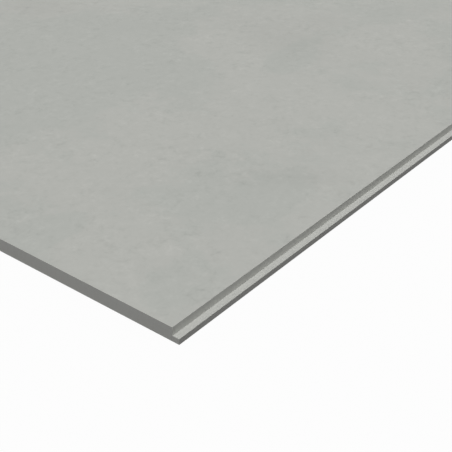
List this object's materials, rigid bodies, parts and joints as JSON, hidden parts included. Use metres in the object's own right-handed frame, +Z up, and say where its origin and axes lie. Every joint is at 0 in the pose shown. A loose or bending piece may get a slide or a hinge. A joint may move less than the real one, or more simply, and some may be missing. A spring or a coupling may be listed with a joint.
{
  "type": "fibre cement sheet",
  "caption": "Flat fibre cement sheet with square-cut ends and a stepped ship-lap rebate along each long edge, so that one sheet's lip laps over the next.",
  "frame": {"origin": "centre of the sheet's outline on its back face, which is the level floor that it lies on", "axes": "+X along the length, +Y across the width from the underlap lip to the overlap lip, +Z up out of the finished face"},
  "size_m": [2.44, 1.2, 0.0085],
  "materials": {
    "fibre_cement": "matte"
  },
  "bodies": {
    "root": {"fibre_cement_sheet": "fibre_cement"}
  },
  "joints": []
}
